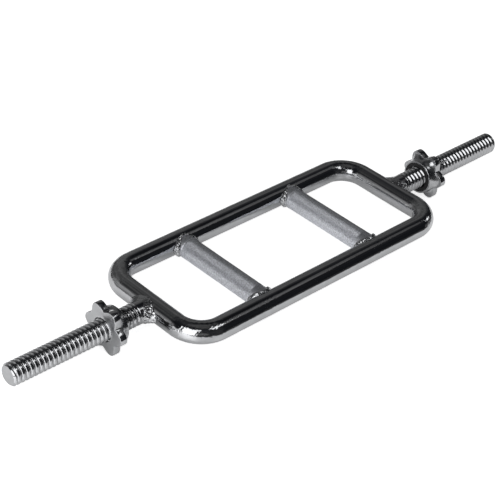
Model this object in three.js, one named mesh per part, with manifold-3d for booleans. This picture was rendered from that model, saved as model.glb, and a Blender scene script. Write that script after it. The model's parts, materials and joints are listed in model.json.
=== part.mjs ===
// A chromed triceps bar: a bent frame with two cross grips, and a threaded sleeve with a star collar at each end.
// Millimetres, +Z up. X runs along the bar and Y across the frame, and the origin is the middle of the bar.
import * as THREE from "three";
import { mergeVertices } from "three/addons/utils/BufferGeometryUtils.js";
import Module from "manifold-3d";

const wasm = await Module();
wasm.setup();

// Round steel bar, the one stock that rails, grips and sleeves are cut from
const barRadius = 15;
const barHalfLength = 435;
const endChamfer = 2.6;

// Frame, measured on the centreline of its rails
const frameHalfLength = 216.7;
const frameHalfWidth = 86.5;
const bendRadius = 37.7;
const gripOffset = 96.8;

// Welds, with the leg along the bar that is welded on and the height over its crown
const sleeveWeldLeg = 12;
const gripWeldLeg = 6;
const weldCrown = 1.2;
const weldLip = 0.4;

// Thread, right-handed at both ends
const threadPitch = 6.5;
const threadDepth = 1.4;
const crestWidth = 3.4;
const rootWidth = 1.3;
const threadPlay = 0.45;

// Star collar, from its hub's face outwards
const hubLength = 12;
const plateThickness = 10.5;
const lipWidth = 2.5;
const valleyRise = 2;
const lobeHeight = 9;
const lobeCount = 6;
const lobeFullness = 0.75;
const edgeRound = 1;
const hubFlare = 10;
const leadIn = 0.8;

// Rubber ring in the hub's face
const ringWidth = 5.5;
const ringThickness = 4.2;
const ringProud = 0.5;
const ringClearance = 1.2;

// Where the two collars stand: the space from the sleeve's weld to the rubber, and the turn of the lobes
const leftCollarSpace = 27.6;
const rightCollarSpace = 32.8;
const leftCollarTurn = THREE.MathUtils.degToRad(-1);
const rightCollarTurn = THREE.MathUtils.degToRad(-2);

// Fits and finish of the facets
const seatGap = 0.3;
const overrun = 5;
const mergeTolerance = 1e-4;
const roundSides = 24;
const bendSteps = 8;
const threadSides = 16;
const starSides = 48;

// Shares of the bar's radius where its coped end and the weld's toe begin, measured from the rail's centreline
const copeShare = 0.5;
const toeShare = 0.2;

// Weld section from the rail outwards: share of the leg along the bar, of the leg across it, and of the crown
const weldShares = [
  [0, 1, 1],
  [0.12, 0.7, 1],
  [0.3, 0.42, 0.95],
  [0.55, 0.18, 0.8],
  [0.8, 0.05, 0.5],
  [1, 0, 0],
];

// Flare from hub to lobes: share of the flare's length left, and share of the way out to the star's edge
const flareShares = [
  [1, 0],
  [0.75, 0.04],
  [0.5, 0.15],
  [0.25, 0.34],
  [0, 0.6],
  [0, 1],
];

// Sizes that follow from the ones above
const sleeveStart = frameHalfLength + barRadius * copeShare;
const threadStart = frameHalfLength + barRadius + sleeveWeldLeg;
const rootRadius = barRadius - threadDepth;
const ringBore = barRadius + ringClearance;
const recessRadius = ringBore + ringWidth + seatGap;
const recessDepth = ringThickness - ringProud + seatGap;
const hubRadius = recessRadius + lipWidth;
const valleyRadius = hubRadius + valleyRise;
const collarLength = hubLength + plateThickness;

const chrome = new THREE.MeshStandardMaterial({ color: 0xd5d7d9, metalness: 1, roughness: 0.12 });
const satinChrome = new THREE.MeshStandardMaterial({ color: 0xa9abad, metalness: 1, roughness: 0.42 });
const weldChrome = new THREE.MeshStandardMaterial({ color: 0xc4c6c8, metalness: 1, roughness: 0.25 });
const rubber = new THREE.MeshStandardMaterial({ color: 0x1a1a1b, metalness: 0, roughness: 0.8 });

// A closed geometry as a solid that can be joined and cut
function solidOf(geometry) {
  const bare = geometry.index ? geometry.toNonIndexed() : geometry.clone();
  for (const name of Object.keys(bare.attributes)) {
    if (name !== "position") bare.deleteAttribute(name);
  }
  const merged = mergeVertices(bare, mergeTolerance);
  const vertProperties = new Float32Array(merged.attributes.position.array);
  const triVerts = new Uint32Array(merged.index.array);
  return new wasm.Manifold(new wasm.Mesh({ numProp: 3, vertProperties, triVerts }));
}

// The geometry of a solid
function geometryOf(solid) {
  const mesh = solid.getMesh();
  const geometry = new THREE.BufferGeometry();
  geometry.setAttribute("position", new THREE.BufferAttribute(new Float32Array(mesh.vertProperties), 3));
  geometry.setIndex(new THREE.BufferAttribute(new Uint32Array(mesh.triVerts), 1));
  const flat = geometry.toNonIndexed();
  flat.computeVertexNormals();
  return flat;
}

// The radius at a cutter's corners that keeps its flats clear of a bar by the seat's gap
const clearRadius = (barRadius + seatGap) / Math.cos(Math.PI / roundSides);

// A round bar along X
function bar(from, to, radius) {
  const geometry = new THREE.CylinderGeometry(radius, radius, to - from, roundSides);
  geometry.rotateZ(-Math.PI / 2);
  geometry.translate((from + to) / 2, 0, 0);
  return solidOf(geometry);
}

// A round bar along Y through a place on X
function crossBar(halfLength, radius, x = 0) {
  const geometry = new THREE.CylinderGeometry(radius, radius, halfLength * 2, roundSides);
  geometry.translate(x, 0, 0);
  return solidOf(geometry);
}

// A solid turned about X, from points that hold x and radius
function turned(points, sides) {
  const profile = points.map(([x, radius]) => new THREE.Vector2(radius, x));
  const geometry = new THREE.LatheGeometry(profile, sides);
  geometry.rotateZ(-Math.PI / 2);
  return geometry;
}

// A solid through rings that stand along X, each a function from an angle to [x, y, z], with flat ends
function lofted(rings, sides) {
  const positions = [];
  const index = [];
  for (const ring of rings) {
    for (let i = 0; i < sides; i++) positions.push(...ring((i / sides) * 2 * Math.PI));
  }
  const last = (rings.length - 1) * sides;
  const startCentre = rings.length * sides;
  positions.push(rings[0](0)[0], 0, 0);
  positions.push(rings[rings.length - 1](0)[0], 0, 0);
  for (let i = 0; i < sides; i++) {
    const next = (i + 1) % sides;
    for (let row = 0; row < last; row += sides) {
      index.push(row + i, row + next, row + sides + next);
      index.push(row + i, row + sides + next, row + sides + i);
    }
    index.push(startCentre, next, i);
    index.push(startCentre + 1, last + i, last + next);
  }
  const geometry = new THREE.BufferGeometry();
  geometry.setAttribute("position", new THREE.Float32BufferAttribute(positions, 3));
  geometry.setIndex(index);
  return geometry;
}

// A right-handed screw along X that covers a stretch. A crest crosses angle 0 at the offset, and play swells it
// all over. Its surface is one band, a pitch wide, that winds round and meets itself at each turn.
function screw(from, to, offset, play) {
  const crest = crestWidth + 2 * play;
  const flank = (threadPitch - crestWidth - rootWidth) / 2;
  const profile = [
    [-crest / 2, barRadius + play],
    [crest / 2, barRadius + play],
    [crest / 2 + flank, rootRadius + play],
    [threadPitch - crest / 2 - flank, rootRadius + play],
  ];
  const start = offset + (Math.floor((from - offset) / threadPitch) - 1) * threadPitch;
  const turns = Math.ceil((to - start) / threadPitch) + 1;
  const steps = turns * threadSides;
  const band = profile.length;
  const positions = [];
  for (let i = 0; i <= steps + threadSides; i++) {
    const angle = (i / threadSides) * 2 * Math.PI;
    for (const [along, radius] of profile) {
      const x = start + (i / threadSides) * threadPitch + along;
      positions.push(x, radius * Math.cos(angle), radius * Math.sin(angle));
    }
  }
  const at = (i, j) => (j === band ? (i + threadSides) * band : i * band + j);
  const startTip = positions.length / 3;
  positions.push(start - threadPitch, 0, 0);
  positions.push(start + (turns + 2) * threadPitch, 0, 0);
  const index = [];
  for (let i = 0; i < steps; i++) {
    for (let j = 0; j < band; j++) {
      index.push(at(i, j), at(i + 1, j), at(i + 1, j + 1));
      index.push(at(i, j), at(i + 1, j + 1), at(i, j + 1));
    }
  }
  for (let i = 0; i < threadSides; i++) {
    index.push(at(i + 1, 0), at(i, 0), startTip);
    index.push(at(steps + i, 0), at(steps + i + 1, 0), startTip + 1);
  }
  for (let j = 0; j < band; j++) {
    index.push(at(0, j), at(0, j + 1), startTip);
    index.push(at(steps, j + 1), at(steps, j), startTip + 1);
  }
  const geometry = new THREE.BufferGeometry();
  geometry.setAttribute("position", new THREE.Float32BufferAttribute(positions, 3));
  geometry.setIndex(index);
  return solidOf(geometry);
}

// The centreline of the frame's front half: an end rail, a bend, the long rail, a bend and an end rail. Its
// stations lie at even steps of t, so that the straight stretches take one step each.
class HalfFrame extends THREE.Curve {
  getPoint(t) {
    const straightX = frameHalfLength - bendRadius;
    const straightY = frameHalfWidth - bendRadius;
    const station = t * halfFrameSteps;
    const half = halfFrameSteps / 2;
    const side = station < half ? -1 : 1;
    const fromEnd = station < half ? station : halfFrameSteps - station;
    if (fromEnd < 1) return new THREE.Vector3(side * frameHalfLength, -straightY * fromEnd, 0);
    if (fromEnd > bendSteps + 1) {
      const left = (half - fromEnd) / (half - bendSteps - 1);
      return new THREE.Vector3(side * straightX * left, -frameHalfWidth, 0);
    }
    const angle = ((fromEnd - 1) / bendSteps) * (Math.PI / 2);
    const x = straightX + bendRadius * Math.cos(angle);
    const y = straightY + bendRadius * Math.sin(angle);
    return new THREE.Vector3(side * x, -y, 0);
  }

  getUtoTmapping(u) {
    return u;
  }
}
const halfFrameSteps = 2 * bendSteps + 3;

// Half the frame, bent from one bar
function halfFrame() {
  const section = new THREE.Shape();
  section.absarc(0, 0, barRadius, 0, 2 * Math.PI);
  const extrudePath = new HalfFrame();
  const options = { steps: halfFrameSteps, extrudePath, curveSegments: roundSides / 2, bevelEnabled: false };
  return geometryOf(solidOf(new THREE.ExtrudeGeometry(section, options)));
}

// A grip along Y, its ends coped to the rails
function grip() {
  const end = frameHalfWidth - barRadius * copeShare;
  let solid = crossBar(end, barRadius);
  for (const side of [-1, 1]) {
    const rail = bar(-2 * barRadius, 2 * barRadius, clearRadius);
    solid = solid.subtract(rail.translate([0, side * frameHalfWidth, 0]));
  }
  return geometryOf(solid);
}

// A weld round a bar along +X where it meets a rail along Y through the origin
function weld(leg) {
  const toe = barRadius * toeShare;
  const oval = (x, across, up) => (angle) => [x, across * Math.cos(angle), up * Math.sin(angle)];
  const thin = barRadius + seatGap + weldLip;
  const rings = [oval(toe, barRadius + leg, thin)];
  rings.push(oval(toe + weldCrown, barRadius + leg, thin + weldCrown));
  for (const [along, across, crown] of weldShares) {
    rings.push(oval(barRadius + leg * along, thin + (leg - seatGap - weldLip) * across, thin + weldCrown * crown));
  }
  const reach = barRadius + leg + overrun;
  const rail = crossBar(reach, clearRadius);
  const inner = bar(barRadius * copeShare - seatGap, reach, clearRadius);
  return geometryOf(solidOf(lofted(rings, roundSides)).subtract(rail).subtract(inner));
}

// A threaded sleeve from the end rail out to the bar's end
function sleeve(threadOffset) {
  const shank = bar(sleeveStart, threadStart, barRadius);
  const rail = crossBar(2 * barRadius, clearRadius, frameHalfLength);
  const outer = barRadius + overrun;
  const envelope = turned(
    [
      [threadStart, 0],
      [threadStart, outer],
      [barHalfLength - endChamfer - overrun, outer],
      [barHalfLength, barRadius - endChamfer],
      [barHalfLength, 0],
    ],
    roundSides,
  );
  const thread = screw(threadStart, barHalfLength, threadOffset, 0).intersect(solidOf(envelope));
  return geometryOf(shank.subtract(rail).add(thread));
}

// The star's edge at an angle: a plain wave when the fullness is 1, broader lobes when it is less
function starRadius(angle) {
  const wave = Math.max((1 + Math.cos(lobeCount * angle)) / 2, 0);
  return valleyRadius + lobeHeight * wave ** lobeFullness;
}

// A collar from the face of its hub along +X, with its own thread and the seat for its rubber ring
function collar() {
  const ring = (x, radiusAt) => (angle) => [
    x,
    radiusAt(angle) * Math.cos(angle),
    radiusAt(angle) * Math.sin(angle),
  ];
  const innerEdge = (angle) => starRadius(angle) - edgeRound;
  const rings = [ring(0, () => hubRadius - edgeRound), ring(edgeRound, () => hubRadius)];
  for (const [left, out] of flareShares) {
    const radiusAt = (angle) => hubRadius + (innerEdge(angle) - hubRadius) * out;
    rings.push(ring(hubLength - hubFlare * left, radiusAt));
  }
  rings.push(ring(hubLength + edgeRound, starRadius));
  rings.push(ring(collarLength - edgeRound, starRadius));
  rings.push(ring(collarLength, innerEdge));
  const mouth = barRadius + threadPlay;
  const bore = turned(
    [
      [-overrun, 0],
      [-overrun, recessRadius],
      [recessDepth, recessRadius],
      [recessDepth, mouth + leadIn],
      [recessDepth + leadIn + mouth, 0],
    ],
    roundSides,
  );
  const outerMouth = turned(
    [
      [collarLength - leadIn - mouth, 0],
      [collarLength, mouth + leadIn],
      [collarLength + overrun, mouth + leadIn],
      [collarLength + overrun, 0],
    ],
    roundSides,
  );
  const solid = solidOf(lofted(rings, starSides))
    .subtract(screw(0, collarLength, 0, threadPlay))
    .subtract(solidOf(bore))
    .subtract(solidOf(outerMouth));
  return geometryOf(solid);
}

// The rubber ring, standing a little proud of the hub's face
function rubberRing() {
  const outer = ringBore + ringWidth;
  const back = ringThickness - ringProud;
  return turned(
    [
      [-ringProud, ringBore],
      [-ringProud, outer],
      [back, outer],
      [back, ringBore],
      [-ringProud, ringBore],
    ],
    roundSides,
  );
}

function named(name, geometry, material) {
  const mesh = new THREE.Mesh(geometry, material);
  mesh.name = name;
  return mesh;
}

const tricepsBar = new THREE.Group();

// The frame's two halves meet under the sleeves
const frameGeometry = halfFrame();
tricepsBar.add(named("front_frame_half", frameGeometry, chrome));
const rearHalf = named("rear_frame_half", frameGeometry, chrome);
rearHalf.rotation.z = Math.PI;
tricepsBar.add(rearHalf);

// Both ends are built pointing along +X, and the left one is turned half round
const sides = [
  { name: "left", turn: Math.PI, space: leftCollarSpace, collarTurn: leftCollarTurn },
  { name: "right", turn: 0, space: rightCollarSpace, collarTurn: rightCollarTurn },
];
for (const side of sides) {
  const end = new THREE.Group();
  end.rotation.z = side.turn;
  tricepsBar.add(end);

  const gripMesh = named(side.name + "_grip", grip(), satinChrome);
  gripMesh.position.x = gripOffset;
  end.add(gripMesh);
  for (const [place, across] of [
    ["front", Math.cos(side.turn) * -1],
    ["rear", Math.cos(side.turn)],
  ]) {
    const bead = named(side.name + "_grip_" + place + "_weld", weld(gripWeldLeg), weldChrome);
    bead.position.set(gripOffset, across * frameHalfWidth, 0);
    bead.rotation.z = (-across * Math.PI) / 2;
    end.add(bead);
  }

  const hubFace = threadStart + side.space + ringProud;
  const threadOffset = hubFace - (threadPitch * side.collarTurn) / (2 * Math.PI);
  end.add(named(side.name + "_sleeve", sleeve(threadOffset), chrome));
  const sleeveBead = named(side.name + "_sleeve_weld", weld(sleeveWeldLeg), weldChrome);
  sleeveBead.position.x = frameHalfLength;
  end.add(sleeveBead);

  const lock = new THREE.Group();
  lock.position.x = hubFace;
  lock.rotation.x = side.collarTurn;
  lock.add(named(side.name + "_star_collar", collar(), chrome));
  lock.add(named(side.name + "_rubber_ring", rubberRing(), rubber));
  end.add(lock);
}

export default tricepsBar;
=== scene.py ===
import json
import math

import bmesh
import bpy
from bpy.props import FloatProperty, FloatVectorProperty, IntProperty, PointerProperty
from mathutils import Matrix, Vector, noise


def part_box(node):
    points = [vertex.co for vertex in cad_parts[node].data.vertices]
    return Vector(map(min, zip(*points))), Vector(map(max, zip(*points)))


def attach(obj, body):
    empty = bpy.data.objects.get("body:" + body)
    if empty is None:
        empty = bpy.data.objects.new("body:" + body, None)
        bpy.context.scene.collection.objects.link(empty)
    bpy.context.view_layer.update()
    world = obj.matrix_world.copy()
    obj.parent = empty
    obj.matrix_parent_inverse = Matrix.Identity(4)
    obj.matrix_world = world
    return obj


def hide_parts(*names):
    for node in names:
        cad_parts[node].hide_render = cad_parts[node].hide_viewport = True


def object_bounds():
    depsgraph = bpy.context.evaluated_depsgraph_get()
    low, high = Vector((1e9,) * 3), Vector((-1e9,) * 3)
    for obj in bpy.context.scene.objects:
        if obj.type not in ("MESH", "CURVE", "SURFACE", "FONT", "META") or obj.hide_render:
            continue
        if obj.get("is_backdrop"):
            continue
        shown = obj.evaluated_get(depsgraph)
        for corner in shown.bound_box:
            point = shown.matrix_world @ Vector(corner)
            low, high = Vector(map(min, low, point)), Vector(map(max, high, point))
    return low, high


bl_info = {
    "name": "Triceps Bar",
    "version": (1, 0, 0),
    "blender": (4, 5, 0),
    "location": "3D View > Sidebar > Triceps Bar",
    "description": "Builds a chromed triceps bar with screw-on star collars round its packed CAD frame",
    "category": "Add Mesh",
}

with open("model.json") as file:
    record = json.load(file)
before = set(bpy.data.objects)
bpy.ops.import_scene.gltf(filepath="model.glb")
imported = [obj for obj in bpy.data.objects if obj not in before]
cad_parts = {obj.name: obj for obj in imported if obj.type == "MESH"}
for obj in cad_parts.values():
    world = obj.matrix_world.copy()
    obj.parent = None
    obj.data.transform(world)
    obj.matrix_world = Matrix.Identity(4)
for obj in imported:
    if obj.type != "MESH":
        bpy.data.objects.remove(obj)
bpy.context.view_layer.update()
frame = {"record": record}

MM = 0.001
SMOOTH_ANGLE = math.radians(32)
MERGE_DISTANCE = 1e-7
NEAR = 1e-6
FULL_TURN = 2 * math.pi
WHITE = (1, 1, 1, 1)

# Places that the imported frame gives, in metres
RAIL_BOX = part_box("rear_frame_half")
RADIUS = RAIL_BOX[1].z
END_RAIL_X = RAIL_BOX[1].x - RADIUS
LONG_RAIL_Y = RAIL_BOX[1].y - RADIUS
GRIP_X = sum(corner.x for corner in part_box("right_grip")) / 2
GRIP_END_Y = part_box("right_grip")[1].y
SLEEVE_START_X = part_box("right_sleeve")[0].x
BAR_END_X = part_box("right_sleeve")[1].x
THREAD_START_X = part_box("right_sleeve_weld")[1].x
SLEEVE_WELD_LEG = THREAD_START_X - END_RAIL_X - RADIUS
GRIP_WELD_LEG = LONG_RAIL_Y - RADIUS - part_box("right_grip_rear_weld")[0].y
COLLAR_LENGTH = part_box("right_star_collar")[1].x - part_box("right_star_collar")[0].x
RING_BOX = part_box("right_rubber_ring")
RING_THICKNESS = RING_BOX[1].x - RING_BOX[0].x
THREAD_PITCH = frame["record"]["behaviour"]["couplings"][0]["ratio"] * FULL_TURN

# Each end is built pointing along +X, and the left one is turned half round.
# The hub is where the collar's inner face lies, and the turn is how far the collar is turned at rest.
ENDS = {
    "left": {
        "place": Matrix.Rotation(math.pi, 4, "Z"),
        "hub": -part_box("left_star_collar")[1].x,
        "turn": math.radians(-1),
    },
    "right": {
        "place": Matrix.Identity(4),
        "hub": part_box("right_star_collar")[0].x,
        "turn": math.radians(-2),
    },
}


def linear(hex_colour):
    """An sRGB hex colour as linear red, green, blue and alpha"""
    parts = [int(hex_colour[i : i + 2], 16) / 255 for i in (1, 3, 5)]
    return [p / 12.92 if p <= 0.04045 else ((p + 0.055) / 1.055) ** 2.4 for p in parts] + [1.0]


def length(name, description, default):
    """A length that a user can change, given in metres"""
    return FloatProperty(
        name=name,
        description=description,
        default=default,
        min=0.0,
        unit="LENGTH",
        precision=5,
    )


def colour(name, description, hex_colour):
    """A colour that a user can change"""
    return FloatVectorProperty(
        name=name,
        description=description,
        default=linear(hex_colour),
        size=4,
        min=0.0,
        max=1.0,
        subtype="COLOR",
    )


class TricepsBarSizes(bpy.types.PropertyGroup):
    """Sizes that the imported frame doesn't give"""

    bend_radius: length("Bend radius", "Radius of the frame's bends on the centreline", 37.7 * MM)
    drawn_line: FloatProperty(
        name="Drawn line",
        description="How many times longer than wide the bar's fine lines are",
        default=9.0,
        min=1.0,
    )
    knurl_pitch: length("Knurl pitch", "Width of one diamond of the grips' knurl", 1.7 * MM)
    knurl_height: length("Knurl height", "Height of the knurl's points over its grooves", 0.4 * MM)
    knurl_margin: length("Knurl margin", "Plain bar between the knurl and the weld", 0.8 * MM)
    weld_crown: length("Weld crown", "Height of the grip welds over their chord", 1.1 * MM)
    weld_lumps: length("Weld lumps", "Height of the lumps in the welds", 0.85 * MM)
    thread_depth: length("Thread depth", "Depth of the sleeve's thread", 2.1 * MM)
    thread_corner: length("Thread corner", "Rounding of the thread's crests at their edges", 0.7 * MM)
    thread_root: length("Thread root", "Radius of the thread's groove", 0.8 * MM)
    thread_flank: FloatProperty(
        name="Thread flank",
        description="Steepness of the thread's flanks",
        default=math.radians(52),
        subtype="ANGLE",
    )
    thread_play: length("Thread play", "Space between the sleeve's thread and the collar's", 0.45 * MM)
    end_chamfer: length("End chamfer", "Chamfer at the bar's ends", 2.6 * MM)
    hub_length: length("Hub length", "From the hub's face to the star", 12 * MM)
    hub_flare: length("Hub flare", "Length of the flare from the hub to the star", 10 * MM)
    hub_lip: length("Hub lip", "Width of the hub's face round the rubber ring", 2.5 * MM)
    valley_rise: length("Valley rise", "From the hub's radius to the star's valleys", 2 * MM)
    lobe_height: length("Lobe height", "From the star's valleys to its lobes", 8.9 * MM)
    lobe_count: IntProperty(
        name="Lobes",
        description="Number of lobes on the star",
        default=6,
        min=3,
        max=12,
    )
    lobe_fullness: FloatProperty(
        name="Lobe fullness",
        description="Breadth of the lobes, 1 for a plain wave and less for broader lobes",
        default=0.75,
        min=0.1,
    )
    edge_round: length("Edge round", "Rounding of the star's edges", 1 * MM)
    boss_height: length("Boss height", "Rise of the star's outer face round the bore", 0.8 * MM)
    boss_width: length("Boss width", "Width of that rise", 4.5 * MM)
    mouth_relief: length("Mouth relief", "Extra radius of the collar's bore at its outer end", 1.2 * MM)
    ring_recess: length("Ring recess", "Depth of the rubber ring's seat in the hub", 4 * MM)
    ring_round: length("Ring round", "Rounding of the rubber ring's edges", 0.7 * MM)


class TricepsBarColours(bpy.types.PropertyGroup):
    """Colours of the finishes and the floor"""

    chrome: colour("Chrome", "Polished chrome plate", "#b5b6b8")
    satin: colour("Satin chrome", "Chrome plate over the knurl", "#e8eaf0")
    weld: colour("Weld", "Chrome plate over the welds", "#bebfc1")
    # painted shade: this colour darkens the bottom of the thread's grooves, where shade falls
    groove: colour("Grooves", "Dull plate and dust in the thread's grooves", "#8c8c8e")
    rubber: colour("Rubber", "Moulded black rubber", "#131314")
    floor: colour("Floor", "Plain pale floor", "#f1f1f1")


def sizes():
    """The sizes that the user can change"""
    return bpy.context.scene.triceps_bar_sizes


def colours():
    """The colours that the user can change"""
    return bpy.context.scene.triceps_bar_colours


# Materials


def add_node(tree, kind, inputs=None, **settings):
    """Add a node with its settings, its inputs' values and its links"""
    node = tree.nodes.new(kind)
    for name, value in settings.items():
        setattr(node, name, value)
    for key, value in (inputs or {}).items():
        if isinstance(value, bpy.types.NodeSocket):
            tree.links.new(value, node.inputs[key])
        else:
            node.inputs[key].default_value = value
    return node


def new_material(name):
    """A material with an empty tree, and whether it has still to be made"""
    found = bpy.data.materials.get(name)
    if found:
        return found, False
    made = bpy.data.materials.new(name)
    made.use_nodes = True
    made.node_tree.nodes.clear()
    return made, True


def add_bumps(tree, place, bumps, normal=None):
    """Lay noise bumps on each other, each with a size and a height in metres and a strength"""
    for size, height, strength in bumps:
        inputs = {"Vector": place, "Scale": 1 / size, "Detail": 2.0}
        relief = add_node(tree, "ShaderNodeTexNoise", inputs).outputs["Fac"]
        inputs = {"Height": relief, "Strength": strength, "Distance": height}
        bump = add_node(tree, "ShaderNodeBump", inputs)
        if normal:
            tree.links.new(normal, bump.inputs["Normal"])
        normal = bump.outputs["Normal"]
    return normal


def ramp(tree, value, start, end, low=0.0, high=1.0):
    """Map a value smoothly from one range to another"""
    inputs = {"Value": value, "From Min": start, "From Max": end, "To Min": low, "To Max": high}
    return add_node(tree, "ShaderNodeMapRange", inputs, interpolation_type="SMOOTHSTEP").outputs["Result"]


def scaled(colour_value, share):
    """A colour made darker or lighter by a share, its alpha at 1"""
    return [part * share for part in colour_value[:3]] + [1.0]


def calculate(tree, operation, *values):
    """One step of arithmetic on numbers, and on the outputs of nodes"""
    inputs = dict(enumerate(values))
    return add_node(tree, "ShaderNodeMath", inputs, operation=operation).outputs["Value"]


def finish_metal(tree, colour_value, low, high, cloud, normal, wear=0.92, dull_and_shade=None, dull_and_shade_colour=None):
    """Close a metal's tree. Its roughness goes from low to high in clouds of a size, and its colour down to
    the share that wear gives. Where a mask marks dull places, they are rougher, in a colour of their own;
    where that colour is darker, as in the thread's grooves, it is painted shade."""
    cloud_start, cloud_end = 0.35, 0.65
    dull_start, dull_end = 0.85, 1.0
    dull_roughness = 0.25
    place = add_node(tree, "ShaderNodeTexCoord").outputs["Object"]
    inputs = {"Vector": place, "Scale": 1 / cloud, "Detail": 4.0}
    clouds = add_node(tree, "ShaderNodeTexNoise", inputs).outputs["Fac"]
    rough = ramp(tree, clouds, cloud_start, cloud_end, low, high)
    worn = ramp(tree, clouds, cloud_start, cloud_end)
    inputs = {"Factor": worn, "A": colour_value, "B": scaled(colour_value, wear)}
    tint = add_node(tree, "ShaderNodeMix", inputs, data_type="RGBA").outputs["Result"]
    if dull_and_shade:
        # The mask also mixes in the dull colour, which in the thread's grooves is painted shade
        dull_and_shade = ramp(tree, dull_and_shade, dull_start, dull_end)
        inputs = {"Factor": dull_and_shade, "A": tint, "B": dull_and_shade_colour}
        tint = add_node(tree, "ShaderNodeMix", inputs, data_type="RGBA").outputs["Result"]
        rough = calculate(tree, "MULTIPLY_ADD", dull_and_shade, dull_roughness, rough)
    inputs = {"Base Color": tint, "Metallic": 1.0, "Roughness": rough, "Normal": normal}
    shader = add_node(tree, "ShaderNodeBsdfPrincipled", inputs)
    add_node(tree, "ShaderNodeOutputMaterial", {"Surface": shader.outputs["BSDF"]})


def plated(name, colour_value, low, high, cloud, bumps, wear=0.92, dull_and_shade_layer="", dull_and_shade_colour=None):
    """Chrome plate on a shaped piece, with its bumps in all directions alike. A layer of the mesh can say
    where it is dull; where the dull colour is darker, it paints shade there."""
    material, fresh = new_material(name)
    if fresh:
        tree = material.node_tree
        normal = add_bumps(tree, add_node(tree, "ShaderNodeTexCoord").outputs["Object"], bumps)
        dull_and_shade = None
        if dull_and_shade_layer:
            dull_and_shade = add_node(tree, "ShaderNodeAttribute", attribute_name=dull_and_shade_layer).outputs["Fac"]
        finish_metal(tree, colour_value, low, high, cloud, normal, wear, dull_and_shade, dull_and_shade_colour)
    return material


def bar_chrome():
    """Bright chrome plate over drawn bar: a mirror with the fine lines of drawing, small pits in places and
    near the welds, and ripples where the bar was bent"""
    material, fresh = new_material("Polished Chrome Plate")
    if not fresh:
        return material
    tree = material.node_tree
    place = add_node(tree, "ShaderNodeTexCoord").outputs["Object"]
    drawn = add_node(tree, "ShaderNodeAttribute", attribute_name="bar_place").outputs["Vector"]
    along = add_node(tree, "ShaderNodeSeparateXYZ", {"Vector": drawn}).outputs["X"]
    along = calculate(tree, "ABSOLUTE", along)
    bend_start = (END_RAIL_X - sizes().bend_radius) / sizes().drawn_line
    bend_end = bend_start + sizes().bend_radius * math.pi / 2 / sizes().drawn_line
    fade = 12 * MM / sizes().drawn_line
    entering = ramp(tree, along, bend_start - fade, bend_start + fade)
    leaving = ramp(tree, along, bend_end - fade, bend_end + fade, 1.0, 0.0)
    bent = calculate(tree, "MULTIPLY", entering, leaving)
    mirrored = add_node(tree, "ShaderNodeVectorMath", {0: place}, operation="ABSOLUTE").outputs["Vector"]
    beside_grip, above_middle = 6 * MM, 12 * MM
    weld_spot = (GRIP_X + beside_grip, LONG_RAIL_Y - beside_grip, above_middle)
    inputs = {0: mirrored, 1: weld_spot}
    from_weld = add_node(tree, "ShaderNodeVectorMath", inputs, operation="DISTANCE").outputs["Value"]
    near_weld = ramp(tree, from_weld, 14 * MM, 34 * MM, 1.0, 0.0)
    patch_size = 40 * MM
    inputs = {"Vector": place, "Scale": 1 / patch_size, "Detail": 1.0}
    patches = add_node(tree, "ShaderNodeTexNoise", inputs).outputs["Fac"]
    pitted = ramp(tree, patches, 0.42, 0.6, 0.15, 1.0)
    pitted = calculate(tree, "ADD", pitted, near_weld)
    lines = ((1.6 * MM, 0.05 * MM, 1.0), (8 * MM, 0.16 * MM, 1.0))
    pits = (2.0 * MM, 0.08 * MM, pitted)
    ripples = ((3.4 * MM, 0.28 * MM, bent), (9 * MM, 0.4 * MM, bent))
    normal = add_bumps(tree, drawn, lines)
    normal = add_bumps(tree, place, (pits, *ripples), normal)
    finish_metal(tree, colours().chrome, 0.05, 0.1, 14 * MM, normal)
    return material


def thread_chrome():
    """Chrome plate over a rolled thread: bright crests and flanks, and grooves that are rougher at their
    bottom, where a darker colour paints shade in
    """
    return plated(
        "Chromed Rolled Thread",
        colours().chrome,
        low=0.07,
        high=0.15,
        cloud=6 * MM,
        bumps=((1.2 * MM, 0.008 * MM, 1.0), (5 * MM, 0.04 * MM, 1.0)),
        dull_and_shade_layer="groove_depth",
        dull_and_shade_colour=colours().groove,
    )


def collar_chrome():
    """Chrome plate over a casting: soft edges to its reflections, blurred on the flare and more so on the
    unbuffed outer face"""
    return plated(
        "Chromed Casting",
        colours().chrome,
        low=0.1,
        high=0.18,
        cloud=10 * MM,
        bumps=((0.9 * MM, 0.004 * MM, 1.0), (9 * MM, 0.07 * MM, 1.0)),
        dull_and_shade_layer="cast_face",
        dull_and_shade_colour=colours().chrome,
    )


def weld_chrome():
    """Chrome plate over raw weld: bright glints from its small lumps"""
    return plated(
        "Chromed Weld",
        colours().weld,
        low=0.06,
        high=0.16,
        cloud=5 * MM,
        bumps=((1.6 * MM, 0.22 * MM, 1.0), (3 * MM, 0.5 * MM, 1.0)),
    )


def satin_chrome():
    """Chrome plate over knurling, worn soft by hands: a broad grey sheen with a sparkle, drawn coarser than
    the real grain, which is too fine to show"""
    return plated(
        "Satin Chrome over Knurl",
        colours().satin,
        low=0.37,
        high=0.52,
        cloud=2.0 * MM,
        bumps=((0.6 * MM, 0.03 * MM, 1.0), (2.4 * MM, 0.17 * MM, 1.0)),
        wear=0.72,
    )


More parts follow.
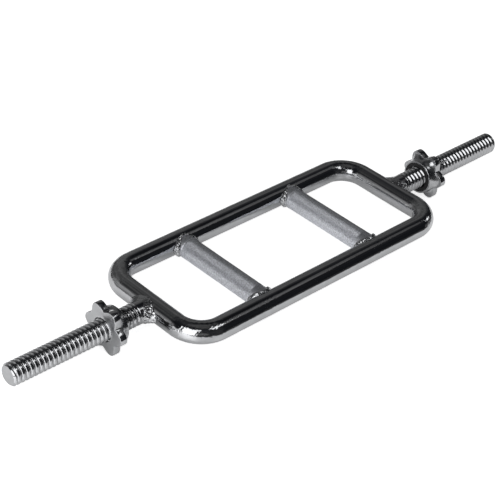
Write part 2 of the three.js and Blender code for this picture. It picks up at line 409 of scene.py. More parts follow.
def moulded_rubber():
    """Moulded black rubber: dull, with a fine grain and paler dust in patches"""
    material, fresh = new_material("Moulded Black Rubber")
    if not fresh:
        return material
    tree = material.node_tree
    place = add_node(tree, "ShaderNodeTexCoord").outputs["Object"]
    grain_size, grain_height = 0.6 * MM, 0.02 * MM
    dust_size, dust_lift = 6 * MM, 1.8
    inputs = {"Vector": place, "Scale": 1 / grain_size, "Detail": 3.0}
    grain = add_node(tree, "ShaderNodeTexNoise", inputs).outputs["Fac"]
    inputs = {"Vector": place, "Scale": 1 / dust_size, "Detail": 4.0}
    dust = add_node(tree, "ShaderNodeTexNoise", inputs).outputs["Fac"]
    inputs = {"Factor": dust, "A": colours().rubber, "B": scaled(colours().rubber, dust_lift)}
    tone = add_node(tree, "ShaderNodeMix", inputs, data_type="RGBA").outputs["Result"]
    inputs = {"Value": dust, "To Min": 0.6, "To Max": 0.8}
    rough = add_node(tree, "ShaderNodeMapRange", inputs).outputs["Result"]
    inputs = {"Height": grain, "Strength": 1.0, "Distance": grain_height}
    normal = add_node(tree, "ShaderNodeBump", inputs).outputs["Normal"]
    inputs = {"Base Color": tone, "Roughness": rough, "Normal": normal}
    shader = add_node(tree, "ShaderNodeBsdfPrincipled", inputs)
    add_node(tree, "ShaderNodeOutputMaterial", {"Surface": shader.outputs["BSDF"]})
    return material


# Shapes


def finish_piece(bm, name, material, body, node):
    """Clean a mesh and make it the piece that stands for a CAD node"""
    bmesh.ops.remove_doubles(bm, verts=bm.verts, dist=MERGE_DISTANCE)
    bmesh.ops.recalc_face_normals(bm, faces=bm.faces)
    mesh = bpy.data.meshes.new(name)
    bm.to_mesh(mesh)
    bm.free()
    mesh.materials.append(material)
    mesh.shade_smooth()
    mesh.set_sharp_from_angle(angle=SMOOTH_ANGLE)
    piece = bpy.data.objects.new(name, mesh)
    bpy.context.scene.collection.objects.link(piece)
    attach(piece, body)
    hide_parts(node)
    return piece


def verts_of(geometry):
    """The vertices in what an operator made"""
    return [item for item in geometry if isinstance(item, bmesh.types.BMVert)]


def all_of(bm):
    """All the geometry of a mesh"""
    return bm.verts[:] + bm.edges[:] + bm.faces[:]


def edges_of(verts):
    """The edges between some vertices, each once"""
    chosen = set(verts)
    found = (edge for vert in verts for edge in vert.link_edges if chosen.issuperset(edge.verts))
    return list(dict.fromkeys(found))


def next_ring(bm, ring):
    """Extrude a ring of vertices and return the new ones"""
    return verts_of(bmesh.ops.extrude_edge_only(bm, edges=edges_of(ring))["geom"])


def set_ring(ring, x, radius_at):
    """Lay a ring round X at a place, with a radius for each angle"""
    for vert in ring:
        angle = math.atan2(vert.co.z, vert.co.y)
        radius = radius_at(angle)
        vert.co = (x, radius * math.cos(angle), radius * math.sin(angle))


def first_ring(bm, sides):
    """A ring of vertices round X"""
    facing_x = Matrix.Rotation(math.pi / 2, 4, "Y")
    return bmesh.ops.create_circle(bm, segments=sides, radius=1.0, matrix=facing_x)["verts"]


def close_ring(bm, ring, x_at, steps=5):
    """Close a ring with smaller ones down to its middle, at a place on X for each height"""
    for step in range(1, steps):
        ring = next_ring(bm, ring)
        for vert in ring:
            vert.co.yz = vert.co.yz * (steps - step) / (steps - step + 1)
            vert.co.x = x_at(vert.co.z)
    ring = next_ring(bm, ring)
    bmesh.ops.pointmerge(bm, verts=ring, merge_co=(x_at(0.0), 0.0, 0.0))


def cope(z):
    """How far a rail's surface stands out from its centreline at a height"""
    return math.sqrt(max(RADIUS**2 - z**2, 0.0))


def unbend(place):
    """Where a point of the rear half lies on its bar before bending: along the bar, across it and up"""
    bend = sizes().bend_radius
    straight = END_RAIL_X - bend
    past_x = abs(place.x) - straight
    past_y = place.y - (LONG_RAIL_Y - bend)
    if past_x <= 0:
        along, across = abs(place.x), past_y - bend
    elif past_y <= 0:
        along, across = straight + bend * math.pi / 2 - past_y, past_x - bend
    else:
        along, across = straight + bend * math.atan2(past_x, past_y), math.hypot(past_x, past_y) - bend
    return Vector((math.copysign(along, place.x), across, place.z))


def make_frame_half(name, node, side):
    """A U-shaped half of the frame, bent from one bar: circle, straight, bend, rail, bend, straight"""
    sides, bend_steps = 96, 32
    bend = sizes().bend_radius
    bm = bmesh.new()
    upright = Matrix.Translation((END_RAIL_X, 0, 0)) @ Matrix.Rotation(math.pi / 2, 4, "X")
    circle = bmesh.ops.create_circle(bm, cap_ends=False, segments=sides, radius=RADIUS, matrix=upright)
    ring = circle["verts"]
    cap = list(ring)
    centre_x = END_RAIL_X - bend
    centre_y = LONG_RAIL_Y - bend
    ring = next_ring(bm, ring)
    bmesh.ops.translate(bm, verts=ring, vec=(0, centre_y, 0))
    for centre, straight in (
        ((centre_x, centre_y, 0), (-2 * centre_x, 0, 0)),
        ((-centre_x, centre_y, 0), (0, -centre_y, 0)),
    ):
        made = bmesh.ops.spin(
            bm,
            geom=ring + edges_of(ring),
            cent=centre,
            axis=(0, 0, 1),
            angle=math.pi / 2,
            steps=bend_steps,
        )
        ring = next_ring(bm, verts_of(made["geom_last"]))
        bmesh.ops.translate(bm, verts=ring, vec=straight)
    bmesh.ops.contextual_create(bm, geom=edges_of(cap))
    bmesh.ops.contextual_create(bm, geom=edges_of(ring))
    bar_place = bm.verts.layers.float_vector.new("bar_place")
    for vert in bm.verts:
        along, across, up = unbend(vert.co)
        vert[bar_place] = (along / sizes().drawn_line, across * side, up)
    if side < 0:
        bmesh.ops.transform(bm, matrix=Matrix.Rotation(math.pi, 4, "Z"), verts=bm.verts)
    return finish_piece(bm, name, bar_chrome(), "bar", node)


def make_grip(side, end):
    """A knurled grip, its rows of diamonds raised between two plain ends that are coped to the rails"""
    bm = bmesh.new()
    row_share = 0.7
    run_out = 0.6 * MM
    pitch = sizes().knurl_pitch
    around = 2 * round(FULL_TURN * RADIUS / pitch)
    knurl_end = LONG_RAIL_Y - RADIUS - GRIP_WELD_LEG - sizes().knurl_margin
    rows = 2 * round(knurl_end / (pitch * row_share))
    step = 2 * knurl_end / rows
    groove = RADIUS - sizes().knurl_height
    ring = first_ring(bm, around)
    set_ring(ring, -knurl_end, lambda angle: groove)
    start = list(ring)
    low = set(ring)
    for row in range(1, rows + 1):
        ring = next_ring(bm, ring)
        inside = 0 < row < rows

        def radius_at(angle):
            place = round(angle / FULL_TURN * around)
            return RADIUS if inside and (row + place) % 2 else groove

        set_ring(ring, -knurl_end + row * step, radius_at)
        low.update(vert for vert in ring if vert.co.yz.length < RADIUS - sizes().knurl_height / 2)
    for face in list(bm.faces):
        corners = [vert for vert in face.verts if vert in low]
        if len(corners) == 2:
            bmesh.utils.face_split(face, corners[0], corners[1])

    for ring, facing in ((start, -1), (ring, 1)):

        def coped_end(z, facing=facing):
            return facing * min(LONG_RAIL_Y - cope(z), GRIP_END_Y)

        ring = next_ring(bm, ring)
        set_ring(ring, facing * (knurl_end + run_out), lambda angle: RADIUS)
        ring = next_ring(bm, ring)
        for vert in ring:
            vert.co.x = coped_end(vert.co.z)
        close_ring(bm, ring, coped_end)
    across = Matrix.Translation((GRIP_X, 0, 0)) @ Matrix.Rotation(math.pi / 2, 4, "Z")
    bmesh.ops.transform(bm, matrix=end["place"] @ across, verts=bm.verts)
    name, node = side + "_knurled_grip", side + "_grip"
    return finish_piece(bm, name, satin_chrome(), "bar", node)


def make_weld(name, node, place, leg, top_angle, hollow, lump_share):
    """A weld round a bar along +X where it meets a rail along Y through the origin, put in its place at the
    end. It starts as a torus, whose section is laid from the rail's toe over the crown to the bar's toe.
    The leg is its width on the bar, and the top angle is how far round the rail it reaches at the top.
    A hollow of 1 gives a round bead, and a larger one a bead that sinks between its toes."""
    bm = bmesh.new()
    hub = 10.0
    seat = Matrix.Translation((0, hub, 0))
    section = bmesh.ops.create_circle(bm, segments=24, radius=1.0, matrix=seat)["verts"]
    bmesh.ops.spin(
        bm,
        geom=section + edges_of(section),
        cent=(0, 0, 0),
        axis=(1, 0, 0),
        angle=FULL_TURN,
        steps=144,
        use_merge=True,
    )
    sunk_share = 0.35
    crown = sizes().weld_crown * (1 if hollow == 1 else sunk_share)
    lumps = sizes().weld_lumps
    soften = 0.3 * RADIUS
    narrowing = 0.25
    buried, root_depth = 0.15 * MM, 2 * MM
    section_start = 0.75 * math.pi
    lump_size, fine_times, fine_share = 2.2 * MM, 2.1, 0.5
    lump_level, lump_swing = 0.6, 1.6
    for vert in bm.verts:
        around = math.atan2(vert.co.z, vert.co.y)
        out = math.hypot(vert.co.y, vert.co.z) - hub
        turn = (section_start - math.atan2(out, vert.co.x)) % FULL_TURN
        c, z = math.cos(around), math.sin(around)
        on_rail = math.asin(abs(z)) * top_angle / (math.pi / 2)
        joint = Vector((RADIUS * abs(c), RADIUS * c, RADIUS * z))
        bar_normal = Vector((0, c, z))
        rail_normal = Vector((math.cos(on_rail), 0, math.copysign(math.sin(on_rail), z)))
        normal = (Vector((abs(c), 0, z)) + bar_normal).normalized()
        reach = math.hypot(RADIUS * c, soften) - math.hypot(RADIUS, soften) + RADIUS + leg
        bar_toe = Vector((reach, joint.y, joint.z)) - buried * bar_normal
        spread = leg * c / math.hypot(c, narrowing) / math.sqrt(1 + z * z)
        rail_toe = Vector((RADIUS * rail_normal.x, RADIUS * c + spread, RADIUS * rail_normal.z))
        rail_toe = rail_toe - buried * rail_normal
        if turn <= math.pi:
            share = turn / math.pi
            to_bar = share**hollow
            to_rail = (1 - share) ** hollow
            surface = joint + (bar_toe - joint) * to_bar + (rail_toe - joint) * to_rail
            dome = 4 * share * (1 - share)
            vert.co = surface + normal * crown * dome
        else:
            share = (turn - math.pi) / math.pi
            root = joint - normal * root_depth
            vert.co = bar_toe * (1 - share) ** 2 + root * 2 * share * (1 - share) + rail_toe * share**2
            dome = 0.0
        vert.co = place @ vert.co
        height = lump_share(vert.co) * lumps * dome
        spot = vert.co / lump_size
        rough = noise.noise(spot) + fine_share * noise.noise(spot * fine_times)
        vert.co += (place.to_3x3() @ normal) * height * (lump_level + lump_swing * rough)
    return finish_piece(bm, name, weld_chrome(), "bar", node)


def thread_flat():
    """Half the width of the crest's flat, which the pitch leaves beside the corners, flanks and groove"""
    size = sizes()
    rounds = size.thread_corner + size.thread_root
    straight = size.thread_depth - rounds * (1 - math.cos(size.thread_flank))
    return THREAD_PITCH / 2 - rounds * math.sin(size.thread_flank) - straight / math.tan(size.thread_flank)


def thread_depth(along):
    """How deep the thread's surface lies at a distance along the bar from the middle of a crest"""
    size = sizes()
    flank = size.thread_flank
    corner, root = size.thread_corner, size.thread_root
    from_crest = abs((along + THREAD_PITCH / 2) % THREAD_PITCH - THREAD_PITCH / 2)
    from_root = THREAD_PITCH / 2 - from_crest
    past_flat = max(from_crest - thread_flat(), 0.0)
    if past_flat < corner * math.sin(flank):
        return corner - math.sqrt(corner**2 - past_flat**2)
    if from_root < root * math.sin(flank):
        return size.thread_depth - root + math.sqrt(root**2 - from_root**2)
    return corner * (1 - math.cos(flank)) + (past_flat - corner * math.sin(flank)) * math.tan(flank)


def thread_radius(along, play=0.0):
    """The thread's radius at that distance, with room to play where it is the collar's"""
    return RADIUS - thread_depth(along) + play


def make_sleeve(side, end):
    """A threaded sleeve: the outline of one pitch spun through a turn, repeated along the bar and coped"""
    bm = bmesh.new()
    sides = 80
    run_in, cut_margin = 2 * MM, 1 * MM
    flank_shares = (0.12, 0.88)
    flank = sizes().thread_flank
    corner = [thread_flat() + sizes().thread_corner * math.sin(flank * step / 3) for step in range(4)]
    root = [THREAD_PITCH / 2 - sizes().thread_root * math.sin(flank * step / 2) for step in (2, 1, 0)]
    straight = [corner[-1] + (root[0] - corner[-1]) * share for share in flank_shares]
    half = [0.0] + corner + straight + root
    stations = [-place for place in reversed(half)] + half[1:]
    offset = end["hub"] - THREAD_PITCH * end["turn"] / FULL_TURN
    first = offset + (math.floor((THREAD_START_X - offset) / THREAD_PITCH) - 1) * THREAD_PITCH
    turns = math.ceil((BAR_END_X - first) / THREAD_PITCH) + 2
    outline = bmesh.ops.create_grid(bm, x_segments=len(stations) - 1, y_segments=1, size=0.5)
    spare = [vert for vert in outline["verts"] if vert.co.y > 0]
    bmesh.ops.delete(bm, geom=spare, context="VERTS")
    for vert, along in zip(sorted(bm.verts, key=lambda vert: vert.co.x), stations):
        vert.co = (first + along, thread_radius(along), 0)
    bmesh.ops.spin(
        bm,
        geom=bm.verts[:] + bm.edges[:],
        cent=(0, 0, 0),
        axis=(1, 0, 0),
        dvec=(THREAD_PITCH / sides, 0, 0),
        angle=FULL_TURN,
        steps=sides,
        use_merge=False,
    )
    one_turn = all_of(bm)
    for turn in range(1, turns):
        moved = verts_of(bmesh.ops.duplicate(bm, geom=one_turn)["geom"])
        bmesh.ops.translate(bm, verts=moved, vec=(turn * THREAD_PITCH, 0, 0))
    bmesh.ops.remove_doubles(bm, verts=bm.verts, dist=10 * MERGE_DISTANCE)
    chamfer_x = BAR_END_X - sizes().end_chamfer
    # How deep each point lies in its groove: the material makes the bottom rougher and paints shade there
    groove_depth = bm.verts.layers.float.new("groove_depth")
    for vert in bm.verts:
        radius = vert.co.yz.length
        run_in_radius = RADIUS - sizes().thread_depth * max(vert.co.x - THREAD_START_X, 0) / run_in
        wanted = max(radius, run_in_radius)
        vert[groove_depth] = (RADIUS - wanted) / sizes().thread_depth
        wanted = min(wanted, RADIUS - max(vert.co.x - chamfer_x, 0))
        vert.co.yz = vert.co.yz * (wanted / radius)
    cut_start = THREAD_START_X - cut_margin
    for x, facing in ((cut_start, -1), (BAR_END_X, 1)):
        bmesh.ops.bisect_plane(
            bm,
            geom=all_of(bm),
            dist=MERGE_DISTANCE,
            plane_co=(x, 0, 0),
            plane_no=(facing, 0, 0),
            clear_outer=True,
        )
    near = MERGE_DISTANCE * 20
    tip = [
        edge
        for edge in bm.edges
        if edge.is_boundary and all(abs(vert.co.x - BAR_END_X) < near for vert in edge.verts)
    ]
    bmesh.ops.contextual_create(bm, geom=tip)
    ring = [vert for vert in bm.verts if vert.is_boundary and abs(vert.co.x - cut_start) < near]
    ring = next_ring(bm, ring)

    def inner_end(z):
        return max(END_RAIL_X + cope(z), SLEEVE_START_X)

    for vert in ring:
        vert.co.x = inner_end(vert.co.z)
    close_ring(bm, ring, inner_end)
    bmesh.ops.transform(bm, matrix=end["place"], verts=bm.verts)
    name, node = side + "_threaded_sleeve", side + "_sleeve"
    return finish_piece(bm, name, thread_chrome(), "bar", node)


def make_collar(side, end):
    """A star collar, ring by ring from the hub's face over the star and back through the threaded bore"""
    size = sizes()
    bm = bmesh.new()
    sides, flare_steps, boss_steps, bore_rows = 192, 8, 4, 40
    seat_play = 0.3 * MM
    lead, relief_depth = 0.8 * MM, 4 * MM
    hub_round = 1 * MM
    flare_rise = 0.6
    seat_radius = RING_BOX[1].z + seat_play
    hub_radius = seat_radius + size.hub_lip
    mouth = RADIUS + size.thread_play
    face_x = COLLAR_LENGTH - size.boss_height

    def star(angle):
        wave = max((1 + math.cos(size.lobe_count * angle)) / 2, 0.0)
        return hub_radius + size.valley_rise + size.lobe_height * wave**size.lobe_fullness

    def steady(radius):
        return lambda angle: radius

    def flare(share):
        return lambda angle: hub_radius + (star(angle) - hub_radius) * share

    stations = [(0, steady(seat_radius)), (0, steady(hub_radius))]
    for step in range(flare_steps + 1):
        share = step / flare_steps
        x = size.hub_length - size.hub_flare * (1 - share)
        stations.append((x, flare(flare_rise * share**2)))
    stations.append((size.hub_length, flare(1)))
    stations.append((face_x, flare(1)))
    relief = mouth + size.mouth_relief
    relief_end = COLLAR_LENGTH - relief_depth
    for step in range(boss_steps + 1):
        share = step / boss_steps
        x = face_x + size.boss_height * share**2
        stations.append((x, steady(relief + size.boss_width * (1 - share))))
    stations.append((relief_end, steady(relief)))
    bore_start = size.ring_recess + lead
    bore_end = relief_end - lead
    for row in range(bore_rows + 1):
        x = bore_end + (bore_start - bore_end) * row / bore_rows

        def bore(angle, x=x):
            return thread_radius(x - THREAD_PITCH * angle / FULL_TURN, size.thread_play)

        stations.append((x, bore))
    stations.append((size.ring_recess, steady(mouth + lead)))
    stations.append((size.ring_recess, steady(seat_radius)))
    ring = first_ring(bm, sides)
    rings = []
    for x, radius_at in stations:
        if rings:
            ring = next_ring(bm, ring)
        set_ring(ring, x, radius_at)
        rings.append(ring)
    bmesh.ops.bridge_loops(bm, edges=edges_of(rings[0]) + edges_of(rings[-1]))
    bmesh.ops.remove_doubles(bm, verts=bm.verts, dist=MERGE_DISTANCE)
    sharp = 1.0
    for x, rounding in ((size.hub_length, size.edge_round), (face_x, size.edge_round), (0, hub_round)):
        edges = [
            edge
            for edge in bm.edges
            if all(abs(vert.co.x - x) < NEAR for vert in edge.verts)
            and all(vert.co.yz.length > hub_radius - NEAR for vert in edge.verts)
            and edge.calc_face_angle(0) > sharp
        ]
        bmesh.ops.bevel(
            bm,
            geom=edges,
            offset=rounding,
            segments=3,
            profile=0.5,
            affect="EDGES",
            material=-1,
            clamp_overlap=True,
        )
    # How dull the casting was left: fully on the outer face, in part on the flare
    flare_start, slack = 1.5 * MM, 0.1 * MM
    full, part = 1.0, 0.92
    cast_face = bm.verts.layers.float.new("cast_face")
    for vert in bm.verts:
        x, radius = vert.co.x, vert.co.yz.length
        if x > face_x - slack and radius > relief:
            vert[cast_face] = full
        elif flare_start < x < size.hub_length + slack and radius > hub_radius - slack:
            vert[cast_face] = part
    seat = Matrix.Translation((end["hub"], 0, 0)) @ Matrix.Rotation(end["turn"], 4, "X")
    bmesh.ops.transform(bm, matrix=end["place"] @ seat, verts=bm.verts)
    name, node = side + "_star_knob", side + "_star_collar"
    return finish_piece(bm, name, collar_chrome(), side + "_collar", node)


def make_rubber_ring(side):
    """A rubber ring, a rounded section spun round the bar"""
    bm = bmesh.new()
    bore_play = 1.2 * MM
    node = side + "_rubber_ring"
    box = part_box(node)
    outer = RING_BOX[1].z
    inner = RADIUS + bore_play
    section = bmesh.ops.create_circle(bm, cap_ends=True, segments=4, radius=1.0)["verts"]
    for vert in section:
        vert.co = Matrix.Rotation(math.pi / 4, 3, "Z") @ vert.co * math.sqrt(0.5)
        vert.co.x = (box[0].x + box[1].x) / 2 + vert.co.x * RING_THICKNESS
        vert.co.y = (inner + outer) / 2 + vert.co.y * (outer - inner)
    bmesh.ops.bevel(
        bm,
        geom=section,
        offset=sizes().ring_round,
        segments=4,
        profile=0.5,
        affect="VERTICES",
        material=-1,
    )
    bmesh.ops.delete(bm, geom=bm.faces[:], context="FACES_ONLY")
    bmesh.ops.spin(
        bm,
        geom=bm.verts[:] + bm.edges[:],
        cent=(0, 0, 0),
        axis=(1, 0, 0),
        angle=FULL_TURN,
        steps=96,
        use_merge=True,
    )
    name, body = side + "_rubber_washer", side + "_ring"
    return finish_piece(bm, name, moulded_rubber(), body, node)


# Stage


def finish_prop(bm, name):
    """Make an object from a mesh of the stage"""
    mesh = bpy.data.meshes.new(name)
    bm.to_mesh(mesh)
    bm.free()
    prop = bpy.data.objects.new(name, mesh)
    bpy.context.scene.collection.objects.link(prop)
    return prop


def make_floor():
    """A plain pale floor under the lowest point, white to the camera and the chrome, that keeps shadows"""
    reach = 9.0
    # How far the shadow under the bars that the chrome mirrors reaches, and how steeply it falls off
    contact_reach, contact_power = 0.12, 2.0
    # How much the floor glows for the camera and in the chrome, and how much the room beyond the table does
    camera_glow, mirror_glow, room_glow = 0.75, 0.52, 0.06
    table_end, room_start = -0.19, -0.28
    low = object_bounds()[0].z
    level = Matrix.Translation((0, 0, low))
    bm = bmesh.new()
    bmesh.ops.create_circle(bm, cap_ends=True, segments=64, radius=reach, matrix=level)
    floor = finish_prop(bm, "floor")
    floor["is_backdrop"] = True
    material, fresh = new_material("Pale Floor")
    if fresh:
        tree = material.node_tree
        path = add_node(tree, "ShaderNodeLightPath").outputs
        inputs = {"Distance": contact_reach}
        shade = add_node(tree, "ShaderNodeAmbientOcclusion", inputs, samples=8).outputs["AO"]
        shade = calculate(tree, "POWER", shade, contact_power)
        mirrored = calculate(tree, "MAXIMUM", path["Is Glossy Ray"], path["Is Transmission Ray"])
        mirrored = calculate(tree, "MULTIPLY", mirrored, shade)
        mirrored = calculate(tree, "MULTIPLY", mirrored, mirror_glow)
        lift = calculate(tree, "MULTIPLY_ADD", path["Is Camera Ray"], camera_glow, mirrored)
        inputs = {"Color": WHITE, "Strength": lift}
        glow = add_node(tree, "ShaderNodeEmission", inputs).outputs["Emission"]
        inputs = {"Base Color": colours().floor, "Roughness": 0.3, "Metallic": 0.32}
        sheet = add_node(tree, "ShaderNodeBsdfPrincipled", inputs).outputs["BSDF"]
        table = add_node(tree, "ShaderNodeAddShader", {0: sheet, 1: glow}).outputs["Shader"]
        place = add_node(tree, "ShaderNodeTexCoord").outputs["Object"]
        across = add_node(tree, "ShaderNodeSeparateXYZ", {"Vector": place}).outputs["Y"]
        beyond = ramp(tree, across, room_start, table_end, 1.0, 0.0)
        beyond = calculate(tree, "MULTIPLY", beyond, path["Is Glossy Ray"])
        inputs = {"Color": WHITE, "Strength": room_glow}
        room = add_node(tree, "ShaderNodeEmission", inputs).outputs["Emission"]
        both = add_node(tree, "ShaderNodeMixShader", {0: beyond, 1: table, 2: room}).outputs["Shader"]
        add_node(tree, "ShaderNodeOutputMaterial", {"Surface": both})
    floor.data.materials.append(material)


def aim(azimuth, elevation):
    """The direction from the object towards a compass angle from +X and a height, both in degrees"""
    turn, rise = math.radians(azimuth), math.radians(elevation)
    return Vector((math.cos(turn) * math.cos(rise), math.sin(turn) * math.cos(rise), math.sin(rise)))


def make_tent():
    """The dark tent over the table, which only the chrome sees: near black, with paler patches"""
    reach = 4.0
    darkest = 0.02
    fold_stretch = (3, 3, 11)
    gap_height = 0.03
    bm = bmesh.new()
    bmesh.ops.create_uvsphere(bm, u_segments=48, v_segments=24, radius=reach)
    tent = finish_prop(bm, "dark_tent")
    tent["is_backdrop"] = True
    for ray in ("camera", "diffuse", "transmission", "volume_scatter", "shadow"):
        setattr(tent, "visible_" + ray, False)
    material, fresh = new_material("Dark Tent Cloth")
    if fresh:
        tree = material.node_tree
        place = add_node(tree, "ShaderNodeTexCoord").outputs["Object"]
        towards = add_node(tree, "ShaderNodeVectorMath", {0: place}, operation="NORMALIZE").outputs["Vector"]
        level = darkest
        # The way to each paler patch of the cloth, its inner and outer edge in degrees, and its brightness
        for direction, inner, outer, brightness in (
            (aim(95, 20), 15, 45, 0.13),
            (aim(134, 12), 8, 30, 0.33),
            (aim(43, 25), 5, 34, 0.1),
            (aim(0, 90), 5, 30, 0.08),
            (aim(-95, 25), 15, 38, 0.03),
            (aim(-132, 8), 4, 28, 0.16),
            (aim(-19, 49), 3, 11, 0.17),
            (aim(-36, 52), 3, 11, 0.17),
            (aim(-25, 0), 4, 16, 0.22),
        ):
            inputs = {0: towards, 1: direction}
            facing = add_node(tree, "ShaderNodeVectorMath", inputs, operation="DOT_PRODUCT").outputs["Value"]
            edges = math.cos(math.radians(outer)), math.cos(math.radians(inner))
            level = calculate(tree, "ADD", level, ramp(tree, facing, *edges, 0.0, brightness))
        inputs = {0: towards, 1: fold_stretch}
        stretched = add_node(tree, "ShaderNodeVectorMath", inputs, operation="MULTIPLY").outputs["Vector"]
        folds = add_node(tree, "ShaderNodeTexNoise", {"Vector": stretched, "Scale": 1.0}).outputs["Fac"]
        level = calculate(tree, "MULTIPLY", level, ramp(tree, folds, 0.38, 0.62, 0.65, 1.3))
        height = add_node(tree, "ShaderNodeSeparateXYZ", {"Vector": towards}).outputs["Z"]
        level = calculate(tree, "MULTIPLY", level, ramp(tree, height, 0.0, gap_height, 0.1, 1.0))
        inputs = {"Factor": ramp(tree, level, 0.01, 0.08), "A": linear("#e6efff"), "B": WHITE}
        cloth = add_node(tree, "ShaderNodeMix", inputs, data_type="RGBA").outputs["Result"]
        glow = add_node(tree, "ShaderNodeEmission", {"Color": cloth, "Strength": level})
        add_node(tree, "ShaderNodeOutputMaterial", {"Surface": glow.outputs["Emission"]})
    tent.data.materials.append(material)


def make_softbox(name, place, width, height, brightness, roll):
    """A rectangular soft light of a given brightness that faces the object, rolled by some degrees"""
    light = bpy.data.lights.new(name, "AREA")
    light.shape = "RECTANGLE"
    light.size = width
    light.size_y = height
    light.energy = brightness * math.pi * width * height
    lamp = bpy.data.objects.new(name, light)
    bpy.context.scene.collection.objects.link(lamp)
    turn = place.to_track_quat("Z", "Y").to_matrix().to_4x4()
    lamp.matrix_world = Matrix.Translation(place) @ turn @ Matrix.Rotation(math.radians(roll), 4, "Z")
    lamp.visible_camera = False


def make_world():
    """White surroundings for the camera and for mirrors, and an even soft light for the rest"""
    world = bpy.data.worlds.new("studio")
    bpy.context.scene.world = world
    world.use_nodes = True
    tree = world.node_tree
    tree.nodes.clear()
    path = add_node(tree, "ShaderNodeLightPath").outputs
    mirrored = calculate(tree, "MAXIMUM", path["Is Glossy Ray"], path["Is Transmission Ray"])
    seen = calculate(tree, "MAXIMUM", path["Is Camera Ray"], mirrored)
    inputs = {"Value": seen, "To Min": 0.6, "To Max": 1.0}
    strength = add_node(tree, "ShaderNodeMapRange", inputs).outputs["Result"]
    light = add_node(tree, "ShaderNodeBackground", {"Color": WHITE, "Strength": strength})
    add_node(tree, "ShaderNodeOutputWorld", {"Surface": light.outputs["Background"]})


def make_camera():
    """The camera of the photograph, fitted to the bar's outline: where it stands, how it is rolled, and its
    place to the right of the object's middle, above it and back from it"""
    side, rise, roll = math.radians(-45.43), math.radians(34.95), math.radians(4.47)
    to_right, to_top, to_back = -35.3 * MM, -6.5 * MM, 2136.1 * MM
    back = Vector((math.sin(side) * math.cos(rise), -math.cos(side) * math.cos(rise), math.sin(rise)))
    level = Vector((0, 0, 1)).cross(back).normalized()
    upright = back.cross(level)
    right = math.cos(roll) * level + math.sin(roll) * upright
    up = math.cos(roll) * upright - math.sin(roll) * level
    lens = bpy.data.cameras.new("photo_camera")
    lens.lens = 116.03
    lens.sensor_width = 36
    lens.sensor_fit = "HORIZONTAL"
    camera = bpy.data.objects.new("photo_camera", lens)
    bpy.context.scene.collection.objects.link(camera)
    turn = Matrix((right, up, back)).transposed().to_4x4()
    place = right * to_right + up * to_top + back * to_back
    camera.matrix_world = Matrix.Translation(place) @ turn
    bpy.context.scene.camera = camera


# Operators


class TRICEPS_BAR_OT_frame(bpy.types.Operator):
    """Build the two halves of the bent frame"""

    bl_idname = "triceps_bar.frame"
    bl_label = "Frame"

    def execute(self, context):
        make_frame_half("rear_bent_rail", "rear_frame_half", 1)
        make_frame_half("front_bent_rail", "front_frame_half", -1)
        return {"FINISHED"}


class TRICEPS_BAR_OT_grips(bpy.types.Operator):
    """Build the two knurled grips"""

    bl_idname = "triceps_bar.grips"
    bl_label = "Grips"

    def execute(self, context):
        for side, end in ENDS.items():
            make_grip(side, end)
        return {"FINISHED"}


class TRICEPS_BAR_OT_grip_welds(bpy.types.Operator):
    """Build the four welds between grips and rails"""

    bl_idname = "triceps_bar.grip_welds"
    bl_label = "Grip welds"

    def execute(self, context):
        top_angle = math.radians(71)
        for side, along in (("left", -1), ("right", 1)):
            for rail, across in (("front", -1), ("rear", 1)):
                spot = Matrix.Translation((along * GRIP_X, across * LONG_RAIL_Y, 0))
                place = spot @ Matrix.Rotation(-across * math.pi / 2, 4, "Z")
                node = side + "_grip_" + rail + "_weld"
                make_weld(node + "_bead", node, place, GRIP_WELD_LEG, top_angle, 1, lambda co: 1.0)
        return {"FINISHED"}


class TRICEPS_BAR_OT_sleeves(bpy.types.Operator):
    """Build the two threaded sleeves"""

    bl_idname = "triceps_bar.sleeves"
    bl_label = "Sleeves"

    def execute(self, context):
        for side, end in ENDS.items():
            make_sleeve(side, end)
        return {"FINISHED"}


class TRICEPS_BAR_OT_sleeve_welds(bpy.types.Operator):
    """Build the two welds between sleeves and frame"""

    bl_idname = "triceps_bar.sleeve_welds"
    bl_label = "Sleeve welds"

    def execute(self, context):
        top_angle, hollow = math.radians(80), 1.5

        def lump_share(co):
            """The lumps are high at the front of the weld and low behind it"""
            return min(max(0.5 - co.y / RADIUS, 0.1), 1.2)

        for side, end in ENDS.items():
            place = end["place"] @ Matrix.Translation((END_RAIL_X, 0, 0))
            node = side + "_sleeve_weld"
            make_weld(node + "_bead", node, place, SLEEVE_WELD_LEG, top_angle, hollow, lump_share)
        return {"FINISHED"}


class TRICEPS_BAR_OT_collars(bpy.types.Operator):
    """Build the two star collars"""

    bl_idname = "triceps_bar.collars"
    bl_label = "Star collars"

    def execute(self, context):
        for side, end in ENDS.items():
            make_collar(side, end)
        return {"FINISHED"}


class TRICEPS_BAR_OT_rubber_rings(bpy.types.Operator):
    """Build the rubber rings in the collars' hubs"""

    bl_idname = "triceps_bar.rubber_rings"
    bl_label = "Rubber rings"

    def execute(self, context):
        for side in ENDS:
            make_rubber_ring(side)
        return {"FINISHED"}


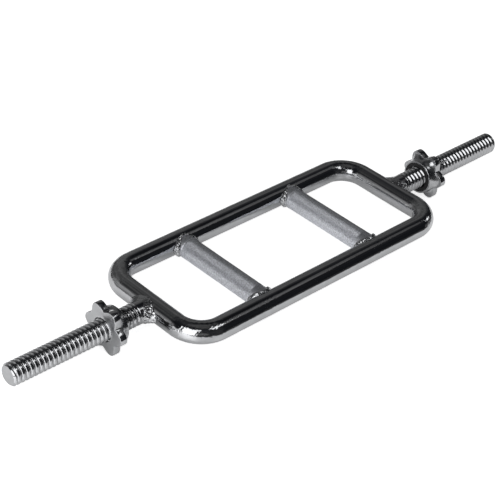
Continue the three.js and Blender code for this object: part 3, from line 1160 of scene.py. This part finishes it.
class TRICEPS_BAR_OT_stage(bpy.types.Operator):
    """Set up the floor, the studio light and the camera"""

    bl_idname = "triceps_bar.stage"
    bl_label = "Stage"

    def execute(self, context):
        make_floor()
        make_tent()
        far, near = 2.6, 1.9
        near_bend = Vector((-0.2, -0.08, 0.0))
        for name, place, width, height, brightness, roll in (
            ("main_softbox", aim(-161, 25) * far, 1.66, 2.75, 2.3, 0),
            ("overhead_strip", near_bend + aim(-59, 58) * near, 1.1, 0.36, 2.0, 9),
            ("left_lamp", aim(162, 6) * far, 1.45, 0.95, 1.0, 0),
            ("small_lamp", aim(-12, 24) * far, 0.4, 0.4, 2.2, 0),
        ):
            make_softbox(name, place, width, height, brightness, roll)
        make_world()
        make_camera()
        context.scene.view_settings.view_transform = "Standard"
        return {"FINISHED"}


class TRICEPS_BAR_PT_panel(bpy.types.Panel):
    """The bar's sizes, colours and steps"""

    bl_idname = "TRICEPS_BAR_PT_panel"
    bl_label = "Triceps Bar"
    bl_space_type = "VIEW_3D"
    bl_region_type = "UI"
    bl_category = "Triceps Bar"

    def draw(self, context):
        for group in (context.scene.triceps_bar_sizes, context.scene.triceps_bar_colours):
            box = self.layout.box()
            for name in group.__annotations__:
                box.prop(group, name)
        for operator in STEPS:
            self.layout.operator(operator.bl_idname)


STEPS = (
    TRICEPS_BAR_OT_frame,
    TRICEPS_BAR_OT_grips,
    TRICEPS_BAR_OT_grip_welds,
    TRICEPS_BAR_OT_sleeves,
    TRICEPS_BAR_OT_sleeve_welds,
    TRICEPS_BAR_OT_collars,
    TRICEPS_BAR_OT_rubber_rings,
    TRICEPS_BAR_OT_stage,
)
CLASSES = (TricepsBarSizes, TricepsBarColours) + STEPS + (TRICEPS_BAR_PT_panel,)


def register():
    """Add the classes and the properties of the scene"""
    for item in CLASSES:
        bpy.utils.register_class(item)
    bpy.types.Scene.triceps_bar_sizes = PointerProperty(type=TricepsBarSizes)
    bpy.types.Scene.triceps_bar_colours = PointerProperty(type=TricepsBarColours)


def unregister():
    """Take them away again"""
    del bpy.types.Scene.triceps_bar_colours
    del bpy.types.Scene.triceps_bar_sizes
    for item in reversed(CLASSES):
        bpy.utils.unregister_class(item)


def main():
    """Build everything in order"""
    register()
    bpy.ops.triceps_bar.frame()
    bpy.ops.triceps_bar.grips()
    bpy.ops.triceps_bar.grip_welds()
    bpy.ops.triceps_bar.sleeves()
    bpy.ops.triceps_bar.sleeve_welds()
    bpy.ops.triceps_bar.collars()
    bpy.ops.triceps_bar.rubber_rings()
    bpy.ops.triceps_bar.stage()


if __name__ == "__main__":
    main()
